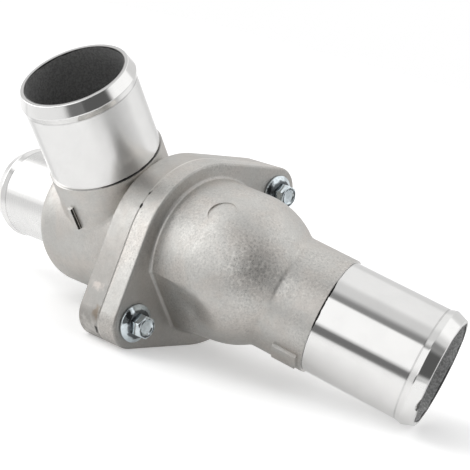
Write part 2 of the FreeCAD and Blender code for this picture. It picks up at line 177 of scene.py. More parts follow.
# The camera of the photo
CAMERA_PLACE = Vector((0.43926146, -0.36667726, 0.08745722))
CAMERA_RIGHT = Vector((0.72065184, 0.66486474, 0.19650904))
CAMERA_UP = Vector((-0.25026678, -0.01485701, 0.96806291))
CAMERA_LENS = 99.4

# The part lies on the rear edge of its flange's flat and on the outlet's bead
REST_UP = Vector((0.0407, 0.0007, 0.9992)).normalized()
REST_PLACE = (0.205, 0.032)
FLOOR_REACH = 3.0

# The lit sheet under the part, which is all of the floor that shiny faces mirror
SHEET_MIDDLE = (0.105, 0.0)
SHEET_REACH = (0.135, 0.075)

# What the lamp shines at, where it hangs from there, and its size
LAMP_TARGET = Vector((0.105, 0.0, 0.01))
LAMP_OFFSET = Vector((-0.5, -0.5, 1.1))
LAMP_SIZE = 0.9

WHITE = (1.0, 1.0, 1.0, 1.0)

# Soft boxes and grey cards far round the part: azimuth from -Y towards +X, elevation,
# half width, half height and soft edge, all in degrees, and brightness
PANELS = (
    (-15.0, -62.0, 60.0, 32.0, 12.0, 0.94),  # floor in front
    (-138.0, -50.0, 28.0, 22.0, 12.0, 0.68),  # floor behind, left
    (128.0, -34.0, 28.0, 27.0, 9.0, 0.50),  # floor behind, right
    (168.0, -2.0, 20.0, 14.0, 8.0, 0.90),  # wall behind, right
    (-115.0, -6.0, 34.0, 16.0, 8.0, 1.03),  # wall at the left
    (-175.0, 66.0, 42.0, 28.0, 9.0, 0.88),  # soft box above
    (128.0, 44.0, 31.0, 22.0, 5.0, 1.05),  # soft box at the right
    (-94.0, 30.0, 12.0, 22.0, 7.0, 0.62),  # gap beside the soft box at the left
    (68.0, 14.0, 27.0, 29.0, 6.0, 0.10),  # dark room at the right
    (24.0, 62.0, 45.0, 19.0, 14.0, 0.66),  # gap between the soft boxes
    (22.0, 52.0, 45.0, 9.0, 7.0, 0.25),  # darkest part of that gap
    (-56.0, 28.0, 21.0, 28.0, 8.0, 2.00),  # soft box in front, left
    (8.0, 21.5, 25.0, 25.5, 3.0, 1.03),  # soft box in front
    (23.0, -16.5, 27.0, 8.2, 2.5, 0.17),  # edge of the table in front
)

# What settings of one kind share
LENGTH = {"subtype": "DISTANCE", "unit": "LENGTH"}
SHARE = {"subtype": "FACTOR", "min": 0.0, "max": 1.0}
COLOUR = {"subtype": "COLOR", "size": 3, "min": 0.0, "max": 1.0}


class CastingLooks(bpy.types.PropertyGroup):
    """Finish of the two castings"""

    cast_colour: bpy.props.FloatVectorProperty(
        name="Cast colour",
        description="Colour of the blasted casting",
        default=(0.665, 0.649, 0.622),
        **COLOUR,
    )
    turned_colour: bpy.props.FloatVectorProperty(
        name="Turned colour",
        description="Colour of the turned hose necks",
        default=(0.91, 0.905, 0.895),
        **COLOUR,
    )
    grain: bpy.props.FloatProperty(
        name="Grain",
        description="Size of the blasted grain",
        min=0.0001,
        max=0.003,
        default=0.0008,
        **LENGTH,
    )
    grain_depth: bpy.props.FloatProperty(
        name="Grain depth",
        description="Depth of the blasted grain",
        min=0.0,
        max=0.0005,
        default=0.00005,
        **LENGTH,
    )
    cast_roughness: bpy.props.FloatProperty(
        name="Cast roughness",
        description="Roughness of the blasted casting where it is smoothest",
        default=0.42,
        **SHARE,
    )
    turned_roughness: bpy.props.FloatProperty(
        name="Turned roughness",
        description="Roughness of the turned necks where they are smoothest",
        default=0.06,
        **SHARE,
    )


class BoltSizes(bpy.types.PropertyGroup):
    """Sizes and colour of the flange bolts"""

    shank_r: bpy.props.FloatProperty(
        name="Shank radius", description="Outside of the thread", default=0.003, **LENGTH
    )
    length: bpy.props.FloatProperty(
        name="Length",
        description="From the head's underside to the tip",
        default=0.018,
        **LENGTH,
    )
    thread_pitch: bpy.props.FloatProperty(
        name="Thread pitch", description="From one thread to the next", default=0.001, **LENGTH
    )
    flats: bpy.props.FloatProperty(
        name="Across flats", description="Width of the hexagon", default=0.008, **LENGTH
    )
    colour: bpy.props.FloatVectorProperty(
        name="Zinc colour",
        description="Colour of the plated bolts",
        default=(0.80, 0.88, 0.92),
        **COLOUR,
    )


class SpringSizes(bpy.types.PropertyGroup):
    """Sizes and colour of the two springs"""

    main_wire_r: bpy.props.FloatProperty(
        name="Main wire radius",
        description="Half the thickness of the main spring's wire",
        default=0.00135,
        **LENGTH,
    )
    main_turns: bpy.props.FloatProperty(
        name="Main turns", description="Turns of the main spring", default=4.5
    )
    bypass_wire_r: bpy.props.FloatProperty(
        name="Bypass wire radius",
        description="Half the thickness of the bypass spring's wire",
        default=0.0006,
        **LENGTH,
    )
    bypass_turns: bpy.props.FloatProperty(
        name="Bypass turns", description="Turns of the bypass spring", default=5.5
    )
    colour: bpy.props.FloatVectorProperty(
        name="Wire colour",
        description="Colour of the drawn spring wire",
        default=(0.50, 0.50, 0.49),
        **COLOUR,
    )


class StudioLooks(bpy.types.PropertyGroup):
    """Floor, surround and lamp"""

    floor_colour: bpy.props.FloatVectorProperty(
        name="Floor colour",
        description="Colour of the studio floor",
        default=(0.86, 0.86, 0.86),
        **COLOUR,
    )
    surround: bpy.props.FloatProperty(
        name="Surround",
        description="Level of the white surround",
        min=0.0,
        max=2.0,
        default=0.70,
    )
    key_power: bpy.props.FloatProperty(
        name="Key lamp",
        description="Power of the large lamp above",
        unit="POWER",
        min=0.0,
        default=4.0,
    )


def deselect_all():
    for thing in bpy.context.selected_objects:
        thing.select_set(False)


def select_only(*things):
    deselect_all()
    for thing in things:
        thing.select_set(True)
    bpy.context.view_layer.objects.active = things[0]


def in_edit_mode(thing, work):
    """Run work with all of the thing's mesh selected in edit mode."""
    select_only(thing)
    bpy.ops.object.mode_set(mode="EDIT")
    bpy.ops.mesh.select_all(action="SELECT")
    work()
    bpy.ops.object.mode_set(mode="OBJECT")


def apply_modifier(thing, modifier):
    select_only(thing)
    bpy.ops.object.modifier_apply(modifier=modifier.name)


def settle(thing):
    """Put the object's place and turn into its mesh."""
    select_only(thing)
    bpy.ops.object.transform_apply(location=True, rotation=True, scale=True)


def cut_with(thing, tool, operation):
    """Boolean the thing with a tool, which is used up."""
    modifier = thing.modifiers.new("cut", "BOOLEAN")
    modifier.operation = operation
    modifier.solver = "EXACT"
    modifier.object = tool
    apply_modifier(thing, modifier)
    bpy.data.objects.remove(tool)


def close_up(thing):
    """Merge doubles and point all faces outwards."""

    def work():
        bpy.ops.mesh.remove_doubles(threshold=SEAM)
        bpy.ops.mesh.normals_make_consistent(inside=False)

    in_edit_mode(thing, work)


def new_piece(name, add, **sizes):
    """Add a primitive with nothing else selected, and put its place into its mesh."""
    deselect_all()
    add(**sizes)
    piece = bpy.context.object
    piece.name = name
    settle(piece)
    return piece


def turned_piece(name, rings, sides):
    """Piece turned about Z from rings given as (height, radius), each extruded from the last."""
    height, radius = rings[0]
    piece = new_piece(
        name,
        bpy.ops.mesh.primitive_circle_add,
        vertices=sides,
        radius=radius,
        fill_type="NGON",
        location=(0, 0, height),
    )

    def work():
        at, wide = height, radius
        for next_at, next_wide in rings[1:]:
            bpy.ops.mesh.extrude_region_move(
                TRANSFORM_OT_translate={"value": (0, 0, next_at - at)}
            )
            share = next_wide / wide
            bpy.ops.transform.resize(value=(share, share, 1), center_override=(0, 0, next_at))
            at, wide = next_at, next_wide

    in_edit_mode(piece, work)
    close_up(piece)
    return piece


def wound_piece(name, section_r, coil_r, pitch, turns, corners, steps_a_turn):
    """Helix about Z that starts at height zero, with a round section square to its path."""
    lead = math.atan2(pitch, 2 * math.pi * coil_r)
    piece = new_piece(
        name,
        bpy.ops.mesh.primitive_circle_add,
        vertices=corners,
        radius=section_r,
        fill_type="NOTHING",
        location=(coil_r, 0, 0),
        rotation=(math.pi / 2 + lead, 0, 0),
    )
    screw = piece.modifiers.new("wind", "SCREW")
    screw.axis = "Z"
    screw.angle = 2 * math.pi * turns
    screw.screw_offset = pitch * turns
    screw.steps = round(turns * steps_a_turn)
    screw.render_steps = screw.steps
    screw.use_merge_vertices = False
    apply_modifier(piece, screw)

    def work():
        bpy.ops.mesh.fill_holes(sides=0)

    in_edit_mode(piece, work)
    close_up(piece)
    return piece


def crop(piece, low, high):
    """Cut a closed piece flat at two heights, as its ends are ground."""

    def work():
        for height, side in ((low, "clear_inner"), (high, "clear_outer")):
            bpy.ops.mesh.select_all(action="SELECT")
            cut = {"plane_co": (0, 0, height), "plane_no": (0, 0, 1), side: True}
            bpy.ops.mesh.bisect(use_fill=True, **cut)

    in_edit_mode(piece, work)
    close_up(piece)


def lay_along_x(piece, place, turn):
    """Turn a piece that was made about Z so that it points along X, and put it in place."""
    to_x = Matrix(((0, 0, 1, 0), (0, 1, 0, 0), (-1, 0, 0, 0), (0, 0, 0, 1)))
    piece.matrix_world = Matrix.Translation(place) @ to_x @ Matrix.Rotation(turn, 4, "Z")
    settle(piece)


def smooth(piece, degrees):
    select_only(piece)
    bpy.ops.object.shade_smooth_by_angle(angle=math.radians(degrees))


class Net:
    """Node tree that is being put together."""

    def __init__(self, tree):
        self.tree = tree

    def node(self, kind, inputs=None, **settings):
        made = self.tree.nodes.new(kind)
        for key, value in settings.items():
            setattr(made, key, value)
        for key, value in (inputs or {}).items():
            self.put(made.inputs[key], value)
        return made

    def put(self, socket, value):
        """Set a socket or link it, and leave it alone for None."""
        if isinstance(value, bpy.types.NodeSocket):
            self.tree.links.new(value, socket)
        elif value is not None:
            socket.default_value = value

    def math(self, operation, first, second=0.0):
        inputs = {0: first, 1: second}
        return self.node("ShaderNodeMath", inputs, operation=operation).outputs[0]

    def plus(self, first, second):
        return self.math("ADD", first, second)

    def minus(self, first, second):
        return self.math("SUBTRACT", first, second)

    def times(self, first, second):
        return self.math("MULTIPLY", first, second)

    def larger(self, first, second):
        return self.math("MAXIMUM", first, second)

    def apart(self, first, second):
        """How far two numbers are from each other."""
        return self.math("ABSOLUTE", self.minus(first, second))

    def vector(self, operation, first, second=(0.0, 0.0, 0.0)):
        inputs = {0: first, 1: second}
        made = self.node("ShaderNodeVectorMath", inputs, operation=operation)
        return made.outputs["Value" if operation in ("LENGTH", "DOT_PRODUCT") else "Vector"]

    def ramp(self, value, low, high, from_value=0.0, to_value=1.0):
        """Smooth step from one value to another between low and high."""
        inputs = {
            "Value": value,
            "From Min": low,
            "From Max": high,
            "To Min": from_value,
            "To Max": to_value,
        }
        made = self.node("ShaderNodeMapRange", inputs, interpolation_type="SMOOTHSTEP")
        return made.outputs[0]

    def mix(self, share, first, second):
        """Mix two numbers."""
        inputs = {"Factor": share, 2: first, 3: second}
        return self.node("ShaderNodeMix", inputs, data_type="FLOAT").outputs[0]


class Finish(Net):
    """Node material, a metal unless it is said not to be, patterned by Object coordinates."""

    def __init__(self, name, metallic=1.0):
        self.material = bpy.data.materials.new(name)
        self.material.use_nodes = True
        super().__init__(self.material.node_tree)
        self.shader = self.tree.nodes["Principled BSDF"]
        self.shader.inputs["Metallic"].default_value = metallic
        self.place = self.node("ShaderNodeTexCoord").outputs["Object"]

    def axis(self, index):
        """The place along X, Y or Z."""
        return self.node("ShaderNodeSeparateXYZ", {"Vector": self.place}).outputs[index]

    def noise(self, size, detail=2.0, rough=0.5, twist=0.0, stretch=None):
        """Noise whose grains are about as large as size, or finer along a stretched axis."""
        place = self.place
        if stretch:
            inputs = {"Vector": place, "Scale": stretch}
            place = self.node("ShaderNodeMapping", inputs).outputs[0]
        inputs = {
            "Vector": place,
            "Scale": 1.0 / size,
            "Detail": detail,
            "Roughness": rough,
            "Distortion": twist,
        }
        return self.node("ShaderNodeTexNoise", inputs).outputs["Fac"]

    def cells(self, size):
        """Distance to the nearest of scattered points that are about size apart."""
        inputs = {"Vector": self.place, "Scale": 1.0 / size}
        return self.node("ShaderNodeTexVoronoi", inputs).outputs["Distance"]

    def spot(self, centre, reach, wobble=0.0, soft=0.45):
        """Mask of a mark round a place, with an edge that a wobble makes ragged."""
        offset = self.vector("SUBTRACT", self.place, centre)
        offset = self.vector("DIVIDE", offset, reach)
        far = self.plus(self.vector("LENGTH", offset), wobble)
        return self.ramp(far, 1.15 - soft, 1.15, 1.0, 0.0)

    def blend(self, share, first, second, mode="MIX"):
        """Mix two colours."""
        colours = [
            (*value, 1.0) if isinstance(value, tuple) else value for value in (first, second)
        ]
        inputs = {"Factor": share, 6: colours[0], 7: colours[1]}
        made = self.node("ShaderNodeMix", inputs, data_type="RGBA", blend_type=mode)
        return made.outputs[2]

    def bump(self, height, depth, under=None):
        inputs = {"Height": height, "Distance": depth, "Normal": under}
        return self.node("ShaderNodeBump", inputs).outputs[0]

    def done(self, colour, rough, normal):
        for name, value in (("Base Color", colour), ("Roughness", rough), ("Normal", normal)):
            self.put(self.shader.inputs[name], value)
        return self.material


def shade(colour, share):
    """A colour made darker or lighter."""
    return tuple(min(1.0, part * share) for part in colour)


class CastingFinish(Finish):
    """Blasted casting whose turned necks are bright outside and rough in the bore."""

    def __init__(self, name, looks, dim):
        super().__init__(name)
        self.looks = looks
        self.cast = shade(looks.cast_colour, dim)
        self.cloud = self.noise(0.0026, detail=3.0, rough=0.65)
        self.grain = self.noise(looks.grain, detail=3.0, rough=0.8)
        self.coarse = self.noise(looks.grain * 2.2, rough=0.55)
        self.lip_noise = self.noise(0.0060, detail=3.0)
        self.smear = self.noise(0.009, detail=3.0, rough=0.55)
        self.pit = self.times(
            self.ramp(self.cells(0.0036), 0.05, 0.10, 1.0, 0.0),
            self.ramp(self.noise(0.0090, detail=0.0), 0.70, 0.74),
        )

    def toned(self, cover, skin, tone):
        """Lay a darker or lighter tone of the casting over its skin."""
        return self.blend(cover, skin, shade(self.cast, tone))

    def blasted(self):
        """Colour of the skin, mottled in tone and a little warmer and cooler in places."""
        mottle = self.noise(0.016, detail=4.0, rough=0.6)
        stain = self.noise(0.011, detail=3.0, rough=0.55, twist=0.4)
        tones = shade(self.cast, 0.93), shade(self.cast, 1.06)
        skin = self.blend(self.ramp(mottle, 0.34, 0.68), *tones)
        red, green, blue = self.cast
        warm = (red * 1.04, green * 0.985, blue * 0.95)
        cool = (red * 0.965, green * 0.99, blue)
        skin = self.blend(0.45, skin, self.blend(self.ramp(stain, 0.36, 0.66), cool, warm))
        return self.toned(self.ramp(self.cloud, 0.30, 0.72, 0.0, 0.22), skin, 0.84)

    def grain_strength(self, coarseness, patches):
        """How strongly the grain shows, and the mask of the rougher patches."""
        strength = self.ramp(self.noise(0.019), 0.38, 0.62, 0.45 * coarseness, coarseness)
        rough_patch = 0.0
        for centre, reach in patches:
            patch = self.spot(centre, reach, soft=1.0)
            rough_patch = self.larger(patch, rough_patch)
            strength = self.plus(strength, self.times(patch, coarseness * 0.7))
        return strength, rough_patch

    def grained(self, skin, strength):
        """Light and dark grain, and pits."""
        light = self.times(self.ramp(self.grain, 0.52, 0.66), strength)
        dark = self.times(self.ramp(self.grain, 0.34, 0.48, 1.0, 0.0), strength)
        skin = self.toned(light, skin, 1.30)
        skin = self.toned(dark, skin, 0.60)
        return self.toned(self.times(self.pit, 0.7), skin, 0.3)

    def specked(self, skin, rough_patch):
        """Dark and light specks on the rougher patches."""
        specks = self.cells(0.0011)
        dark = self.times(self.ramp(specks, 0.12, 0.24, 0.75, 0.0), rough_patch)
        light = self.times(self.ramp(specks, 0.62, 0.76, 0.0, 0.60), rough_patch)
        return self.toned(light, self.toned(dark, skin, 0.40), 1.45)

    def painted_light_and_shade(self, skin, flange):
        """Skin with painted shade below and on the flange, and painted light along the joint's
        groove.
        """
        along_x, up_z = self.axis(0), self.axis(2)
        # Painted shade, darker towards the bottom
        lift = self.ramp(up_z, *SHADE_HEIGHTS)
        tones = [(tone,) * 3 for tone in SHADE_TONES]
        skin = self.blend(1.0, skin, self.blend(lift, *tones), "MULTIPLY")
        # Painted shade on the flange, more of it lower down
        middle, half_width, soft, *heights = flange
        off_middle = self.apart(along_x, middle)
        near = self.ramp(off_middle, half_width, half_width + soft, 1.0, 0.0)
        skin = self.toned(self.times(near, self.ramp(up_z, *heights)), skin, 0.45)
        # Painted light over the joint's shaded groove
        joint_highlight = self.ramp(self.apart(along_x, JOINT_X), 0.00030, 0.00042, 0.50, 0.0)
        return self.toned(joint_highlight, skin, 1.5)

    def marked(self, skin, marks):
        wobble = self.ramp(self.coarse, 0.3, 0.7, -0.35, 0.35)
        for centre, reach, soft, share, colour in marks:
            cover = self.times(self.spot(centre, reach, wobble, soft), share)
            skin = self.blend(cover, skin, colour)
        return skin

    def neck_places(self, neck):
        """Height along a neck's axis, distance from it, and the direction away from it."""
        offset = self.vector("SUBTRACT", self.place, neck["start"])
        height = self.vector("DOT_PRODUCT", offset, neck["direction"])
        way = self.vector("ADD", neck["direction"])
        foot = self.node("ShaderNodeVectorMath", {0: way, "Scale": height}, operation="SCALE")
        outward = self.vector("SUBTRACT", offset, foot.outputs["Vector"])
        return height, self.vector("LENGTH", outward), self.vector("NORMALIZE", outward)

    def neck_masks(self, neck):
        """Masks of what one neck shows, and the height along it where it is turned."""
        height, away, outward = self.neck_places(neck)
        bore_r, seam, bead = neck["bore_r"], neck["seam"], neck["bead"]
        past = self.ramp(height, seam - 0.00002, seam + 0.00002)
        ragged = self.ramp(self.lip_noise, 0.42, 0.66, 0.00002, neck["lip_wave"])
        if neck["rim_bite"]:
            depth = self.ramp(self.lip_noise, 0.3, 0.7, 0.0012, 0.0018)
            bite = self.times(self.spot(*neck["rim_bite"]), depth)
            ragged = self.larger(ragged, bite)
        edge = self.minus(away, ragged)
        turned = self.times(past, self.ramp(edge, bore_r, bore_r + 0.00010))
        inside = self.minus(past, turned)
        # Painted shade: a thin dark line round the lip at the bore's edge
        lip = self.ramp(edge, bore_r + 0.00016, bore_r + 0.00040, 1.0, 0.0)
        below = self.minus(neck["mouth"], height)
        below = self.plus(below, self.ramp(self.lip_noise, 0.3, 0.7, -0.0002, 0.0004))
        # Painted shadow on the bore just inside the mouth
        mouth_shadow = self.ramp(below, 0.0003, 0.0006, 0.85, 0.0)
        # Shadow painted along the seam's step, widest on the side that gap_side gives
        side = self.vector("DOT_PRODUCT", outward, neck["gap_side"])
        wide = self.ramp(side, *neck["gap_reach"], 0.00006, 0.00040)
        wide = self.times(wide, self.ramp(self.cloud, 0.3, 0.6, 0.6, 1.2))
        gap = self.math("LESS_THAN", self.apart(height, seam + 0.00012), wide)
        satin = self.ramp(height, bead - 0.0002, bead + 0.0002, neck["satin"], 0.0)
        # Painted shade in the crease at the foot of the bead
        root = self.ramp(self.apart(height, bead), 0.00010, 0.00055, 0.36, 0.0)
        masks = {"turned": turned, "bore": inside, "mouth_shadow": self.times(inside, mouth_shadow)}
        for key, mask in (("lip", lip), ("gap", gap), ("satin", satin), ("root", root)):
            masks[key] = self.times(turned, mask)
        return masks, self.times(turned, height)

    def mask_necks(self, necks):
        """The masks of all necks together."""
        masks, ring_height = {}, 0.0
        for neck in necks:
            own_masks, own_height = self.neck_masks(neck)
            for key, mask in own_masks.items():
                masks[key] = self.larger(mask, masks.get(key, 0.0))
            ring_height = self.plus(own_height, ring_height)
        return masks, ring_height

    def turned(self, masks, ring_height):
        """Colour, roughness and fine rings of the turned walls."""
        inputs = {"W": ring_height, "Scale": 6000.0, "Detail": 3.0}
        rings = self.node("ShaderNodeTexNoise", inputs, noise_dimensions="1D").outputs["Fac"]
        bright = tuple(self.looks.turned_colour)
        skin = self.blend(self.ramp(self.smear, 0.35, 0.75), bright, shade(bright, 0.965))
        # Painted shade at the bead's root
        root = self.times(masks["root"], self.ramp(self.smear, 0.3, 0.65, 0.5, 1.2))
        skin = self.blend(root, skin, shade(bright, 0.30))
        # Painted shadow along the seam's step, and a dark line painted round the lip as the shade
        # of its edge
        skin = self.toned(self.larger(masks["gap"], masks["lip"]), skin, 0.05)
        smooth = self.looks.turned_roughness
        rough = self.plus(
            self.ramp(rings, 0.3, 0.7, smooth, smooth + 0.04),
            self.ramp(self.smear, 0.3, 0.8, 0.0, 0.03),
        )
        return skin, self.plus(rough, masks["satin"]), rings

    def bored(self, tones, mouth_shadow):
        """Neutral grey of the rough bore, with shadow painted just inside the mouth."""
        grey = (self.cast[1],) * 3
        tones = [shade(grey, tone) for tone in tones]
        skin = self.blend(self.ramp(self.grain, 0.36, 0.64), *tones)
        return self.blend(mouth_shadow, skin, shade(grey, 0.05))

    def relief(self, strength, masks, rings):
        """Grain, clouds and rings on the surface, over an edge that looks rounded off."""
        relief = self.plus(self.grain, self.times(self.coarse, 0.5))
        relief = self.minus(relief, self.times(self.pit, 1.5))
        relief = self.times(relief, self.plus(strength, 0.25))
        cast_part = self.times(
            self.minus(1.0, masks["turned"]), self.minus(1.0, self.times(masks["bore"], 0.75))
        )
        centre, reach, radius = ROUNDED_OFF
        inputs = {"Radius": self.times(self.spot(centre, reach), radius)}
        normal = self.node("ShaderNodeBevel", inputs, samples=6).outputs["Normal"]
        depth = self.looks.grain_depth
        for height, part, deep in (
            (relief, cast_part, depth),
            (self.cloud, cast_part, depth * 1.6),
            (rings, masks["turned"], 0.0000016),
        ):
            normal = self.bump(self.times(height, part), deep, normal)
        return normal


def casting_finish(name, looks, necks, marks, coarseness, flange, patches=(), dim=1.0):
    """Finish of one casting. Coarseness is how strongly its grain shows, and dim darkens it."""
    finish = CastingFinish(name, looks, dim)
    strength, rough_patch = finish.grain_strength(coarseness, patches)
    skin = finish.grained(finish.blasted(), strength)
    if patches:
        skin = finish.specked(skin, rough_patch)
    skin = finish.marked(finish.painted_light_and_shade(skin, flange), marks)
    smooth = looks.cast_roughness
    rough = finish.ramp(finish.cloud, 0.2, 0.8, smooth, smooth + 0.10)
    masks, ring_height = finish.mask_necks(necks)
    turned_skin, turned_rough, rings = finish.turned(masks, ring_height)
    skin = finish.blend(masks["turned"], skin, turned_skin)
    rough = finish.mix(masks["turned"], rough, turned_rough)
    bore_skin = finish.bored(necks[0]["bore_tone"], masks["mouth_shadow"])
    skin = finish.blend(masks["bore"], skin, bore_skin)
    rough = finish.mix(masks["bore"], rough, 0.66)
    return finish.done(skin, rough, finish.relief(strength, masks, rings))


def lug_shadow_finish():
    """Dark finish painted as the shadow on one side of the inlet lug."""
    finish = Finish("lug_shadow")
    clumps = finish.noise(0.0012, detail=3.0, rough=0.6)
    dark, pale = (0.030, 0.028, 0.025), (0.16, 0.155, 0.145)
    tint = finish.blend(finish.ramp(clumps, 0.35, 0.75), dark, pale)
    rough = finish.ramp(clumps, 0.3, 0.7, 0.60, 0.80)
    return finish.done(tint, rough, finish.bump(clumps, 0.0001))


def head_painted_shade(finish, cloud, head_x, axes):
    """Mask of the shade painted round the foot and rim of each bolt's head and round its dish."""
    above = finish.minus(finish.axis(0), head_x)
    away = 1.0
    for y, z in axes:
        offset = finish.vector("SUBTRACT", finish.place, (0.0, y, z))
        offset = finish.vector("MULTIPLY", offset, (0.0, 1.0, 1.0))
        away = finish.math("MINIMUM", finish.vector("LENGTH", offset), away)
    wander = finish.ramp(cloud, 0.3, 0.7, -0.0003, 0.0003)
    foot = finish.times(
        finish.ramp(finish.plus(away, wander), 0.0053, 0.0060, 1.0, 0.0),
        finish.ramp(finish.plus(above, wander), 0.0026, 0.0035, 1.0, 0.0),
    )
    rim = finish.ramp(above, 0.00018, 0.00034, 1.0, 0.0)
    off_dish = finish.apart(away, 0.0033)
    dish = finish.times(
        finish.ramp(finish.plus(off_dish, wander), 0.0001, 0.0004, 1.0, 0.0),
        finish.ramp(above, 0.0060, 0.0062),
    )
    return finish.larger(finish.larger(foot, rim), dish)


def zinc_finish(colour, head_x, axes):
    """Bright zinc plate with waves and handling marks, and shade painted on each bolt's head and
    washer.
    """
    finish = Finish("zinc_plated_steel")
    cloud = finish.noise(0.0022, detail=4.0, rough=0.6)
    marks = finish.noise(0.0007, stretch=(1.0, 3.0, 1.0))
    tint = finish.blend(finish.ramp(cloud, 0.35, 0.7), tuple(colour), shade(colour, 0.80))
    tint = finish.blend(finish.ramp(marks, 0.60, 0.8, 0.0, 0.5), tint, (0.92, 0.96, 0.98))
    painted_shade = head_painted_shade(finish, cloud, head_x, axes)
    wobble = finish.ramp(marks, 0.3, 0.7, -0.3, 0.3)
    for centre, reach in BOLT_SHADOWS:
        painted_shade = finish.larger(finish.spot(centre, reach, wobble), painted_shade)
    # Painted shade: the masked places go nearly black
    tint = finish.blend(finish.times(painted_shade, 0.90), tint, (0.05, 0.055, 0.06))
    rough = finish.ramp(cloud, 0.3, 0.75, 0.05, 0.12)
    waves = finish.bump(finish.noise(0.0019, detail=1.0), 0.00006)
    return finish.done(tint, rough, finish.bump(marks, 0.00001, waves))


def steel_finish(name, colour, smoothness, streak, streak_size):
    """Steel with streaks along one direction, which streak stretches."""
    finish = Finish(name)
    lines = finish.noise(streak_size, detail=3.0, rough=0.55, stretch=streak)
    cloud = finish.noise(0.006, detail=3.0)
    tint = finish.blend(finish.ramp(cloud, 0.3, 0.75), colour, shade(colour, 0.82))
    tint = finish.blend(finish.ramp(lines, 0.35, 0.7, 0.0, 0.35), tint, shade(colour, 1.25))
    rough = finish.ramp(lines, 0.3, 0.7, smoothness, smoothness + 0.14)
    return finish.done(tint, rough, finish.bump(lines, 0.00001))


def rubber_finish(name):
    """Black moulded rubber with a fine skin and a little dust."""
    finish = Finish(name, metallic=0.0)
    finish.shader.inputs["Specular IOR Level"].default_value = 0.45
    skin = finish.noise(0.0005, detail=3.0, rough=0.6)
    dust = finish.noise(0.004, detail=4.0, rough=0.65)
    black, dusty = (0.022, 0.022, 0.023), (0.075, 0.073, 0.070)
    tint = finish.blend(finish.ramp(dust, 0.5, 0.8, 0.0, 0.7), black, dusty)
    rough = finish.ramp(skin, 0.3, 0.7, 0.48, 0.66)
    return finish.done(tint, rough, finish.bump(skin, 0.00002))


def wax_finish(name):
    """Wax that is filled with copper powder."""
    finish = Finish(name, metallic=0.0)
    flakes = finish.cells(0.0004)
    cloud = finish.noise(0.002, detail=3.0)
    tint = finish.blend(finish.ramp(cloud, 0.3, 0.7), (0.62, 0.39, 0.22), (0.50, 0.29, 0.15))
    tint = finish.blend(finish.ramp(flakes, 0.15, 0.3, 0.8, 0.0), tint, (0.80, 0.45, 0.25))
    rough = finish.ramp(flakes, 0.1, 0.4, 0.30, 0.50)
    return finish.done(tint, rough, finish.bump(flakes, 0.00003))


def spring_wire_finish(colour):
    """Drawn wire with a dark oxide that is rubbed bright in places."""
    finish = Finish("spring_wire")
    cloud = finish.noise(0.0016, detail=4.0, rough=0.6)
    tint = finish.blend(finish.ramp(cloud, 0.35, 0.7), shade(colour, 0.75), tuple(colour))
    rough = finish.ramp(cloud, 0.3, 0.7, 0.34, 0.22)
    return finish.done(tint, rough, finish.bump(finish.noise(0.0003), 0.00001))


def paint(name, material):
    """Give a CAD node one finish."""
    slots = frame["nodes"][name].data.materials
    slots.clear()
    slots.append(material)


def casting_lug(name, neck, facing, start, size):
    """Raised lug along a neck's cast root, with its foot sunk into the wall."""
    length, width, height = size
    sunk = 0.001
    lug = new_piece(
        name,
        bpy.ops.mesh.primitive_cube_add,
        size=1.0,
        location=(0, 0, (height - sunk) / 2),
        scale=(length, width, height + sunk),
    )
    for face in lug.data.polygons:
        face.select = face.normal.z > 0.9
    for edge in lug.data.edges:
        edge.select = all(lug.data.vertices[v].co.z > 0.0 for v in edge.vertices)
    for vertex in lug.data.vertices:
        vertex.select = vertex.co.z > 0.0
    select_only(lug)
    bpy.ops.object.mode_set(mode="EDIT")
    bpy.ops.transform.resize(value=(0.95, 0.90, 1.0), center_override=(0, 0, height))
    bpy.ops.mesh.bevel(offset=0.00025, segments=3, affect="EDGES")
    bpy.ops.object.mode_set(mode="OBJECT")
    close_up(lug)
    along, out = Vector(neck["direction"]), Vector(facing).normalized()
    turn = Matrix((along, out.cross(along), out)).transposed().to_4x4()
    foot = Vector(neck["start"]) + along * (start + length / 2) + out * BOSS_R
    lug.matrix_world = Matrix.Translation(foot) @ turn
    settle(lug)
    smooth(lug, 35)
    return lug


class HOUSING_OT_dress_castings(bpy.types.Operator):
    """Give the two castings their blasted skin, their turned necks and their lugs"""

    bl_idname = "housing.dress_castings"
    bl_label = "Dress castings"

    def execute(self, context):
        looks = context.scene.housing_castings
        # The rear casting's colour is dimmed a little as painted shade
        rear = casting_finish(
            "rear_casting", looks, (INLET, BYPASS), REAR_MARKS, 0.26, REAR_FLANGE_SHADE, dim=0.94
        )
        front = casting_finish(
            "front_casting", looks, (OUTLET,), SLITS, 0.58, COVER_FLANGE_SHADE, COVER_PATCHES
        )
        paint("rear_body", rear)
        paint("outlet_cover", front)
        lugs = {}
        for name, neck, lug, skin in (
            ("inlet_lug", INLET, INLET_LUG, rear),
            ("outlet_lug", OUTLET, OUTLET_LUG, front),
        ):
            piece = lugs[name] = casting_lug(name, neck, *lug)
            piece.data.materials.append(skin)
            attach(piece, "housing")
        # Painted shadow: the lug's face towards +X gets the dark finish
        mesh = lugs["inlet_lug"].data
        mesh.materials.append(lug_shadow_finish())
        for face in mesh.polygons:
            if face.normal.x > 0.9:
                face.material_index = 1
        return {"FINISHED"}


